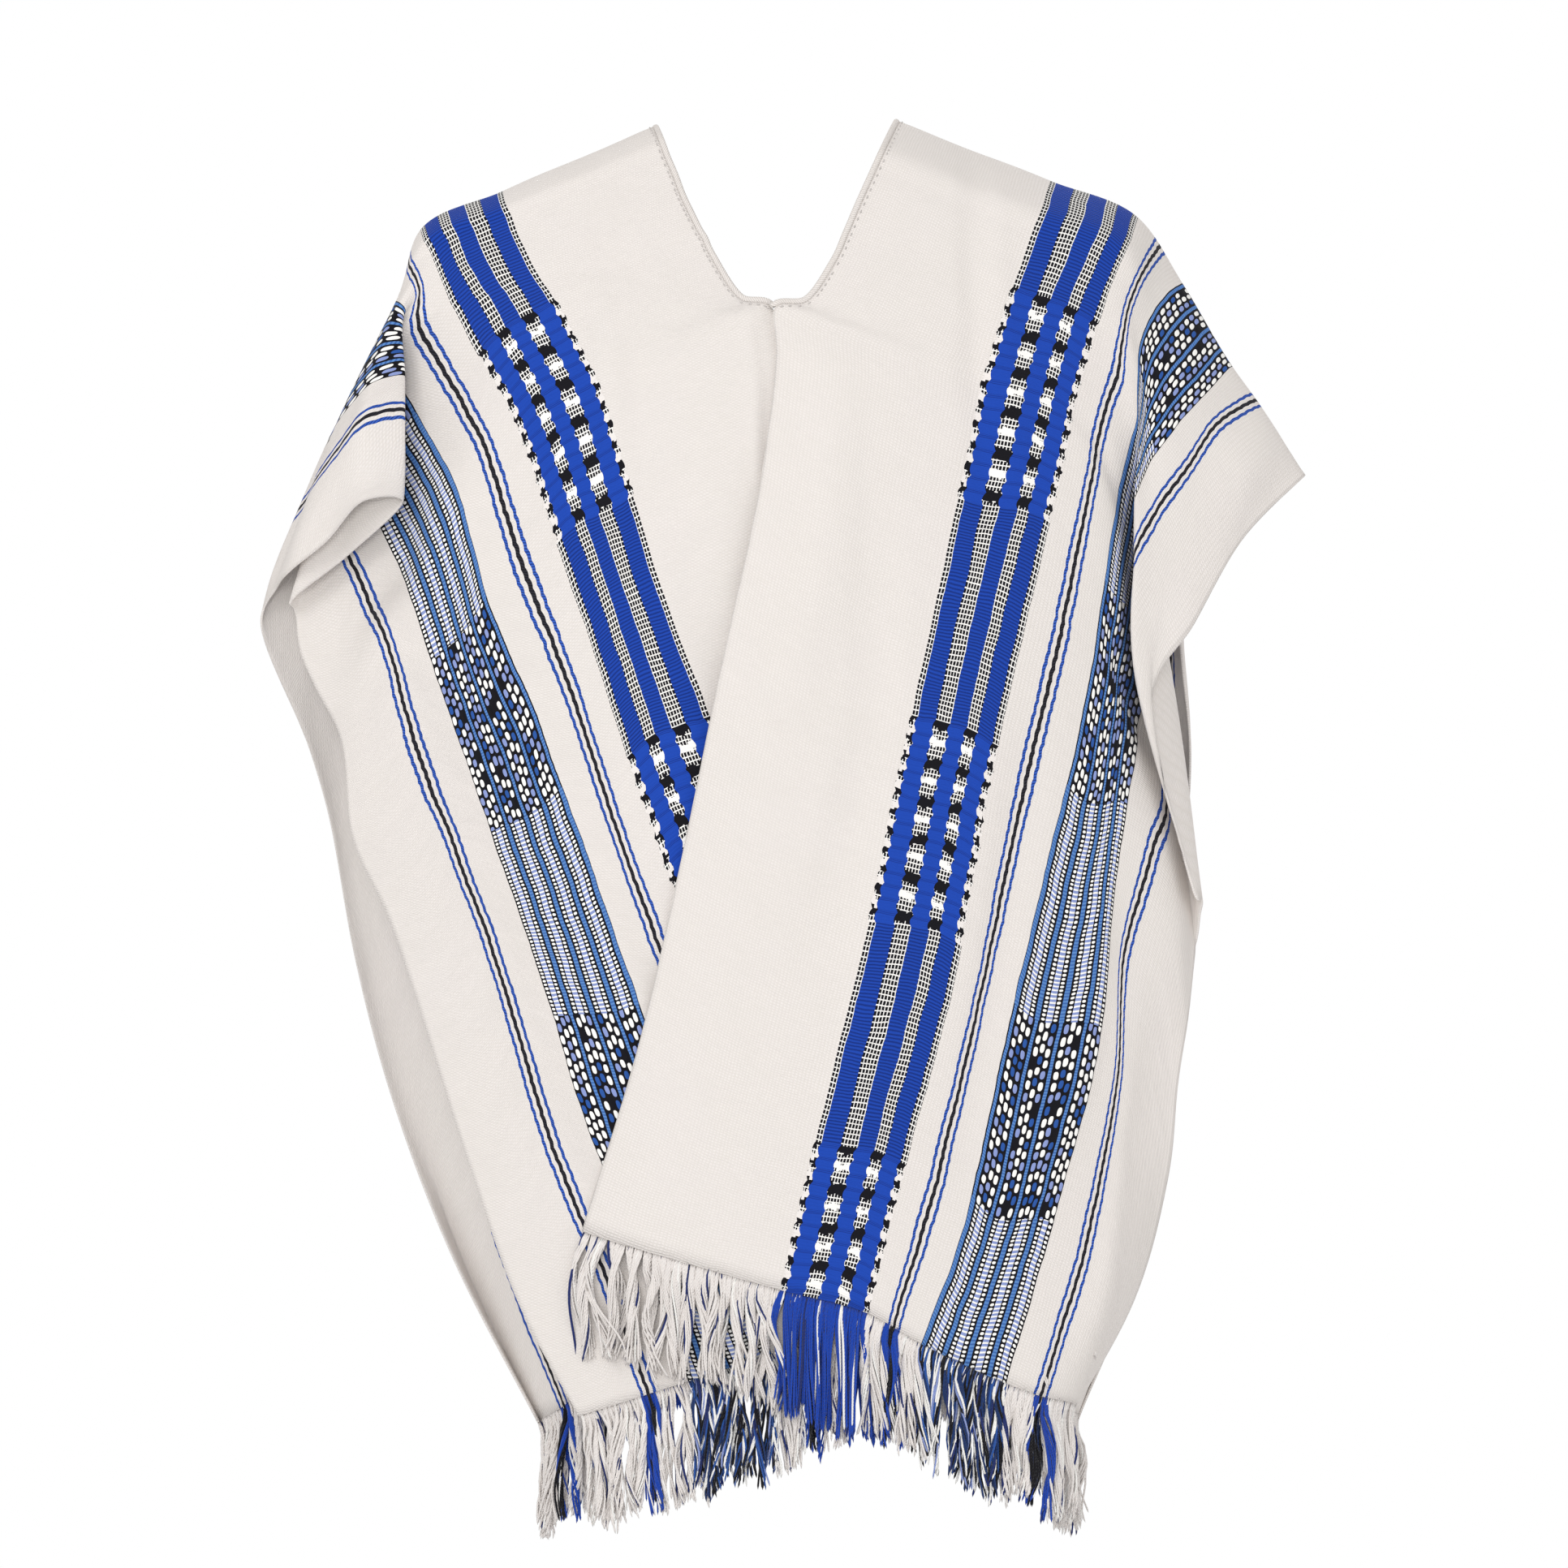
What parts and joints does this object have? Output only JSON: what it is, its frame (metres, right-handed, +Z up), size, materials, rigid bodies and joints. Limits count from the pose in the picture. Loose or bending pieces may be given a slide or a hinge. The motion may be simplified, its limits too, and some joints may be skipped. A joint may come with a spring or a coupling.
{
  "type": "open-front poncho",
  "caption": "Hollow open-front poncho of woven cotton strips with striped bands, a bound V neck, open sides and fringed hems, as it hangs on sloping shoulders.",
  "frame": {"origin": "between the shoulders, level with the cloth at the sides of the neck, where the shoulders carry it", "axes": "+Z up, -Y to the front, +X to the wearer's left, which is the viewer's right"},
  "size_m": [0.6506, 0.2377, 0.8807],
  "materials": {
    "woven_cotton_left": "matt handwoven cotton, cream with blue, black and white bands",
    "woven_cotton_right": "matt handwoven cotton, cream with blue, black and white bands",
    "binding": "cream cotton stitched over the neck edge",
    "fringe_front_left": "loose cotton warp ends, cream with blue and black",
    "fringe_front_right": "loose cotton warp ends, cream and royal blue",
    "fringe_back_left": "loose cotton warp ends, cream with blue and black",
    "fringe_back_right": "loose cotton warp ends, cream with blue and black"
  },
  "bodies": {
    "root": {"strip_left": "woven_cotton_left", "strip_right": "woven_cotton_right", "neck_binding": "binding", "fringe_front_left": "fringe_front_left", "fringe_front_right": "fringe_front_right", "fringe_back_left": "fringe_back_left", "fringe_back_right": "fringe_back_right"}
  },
  "joints": []
}
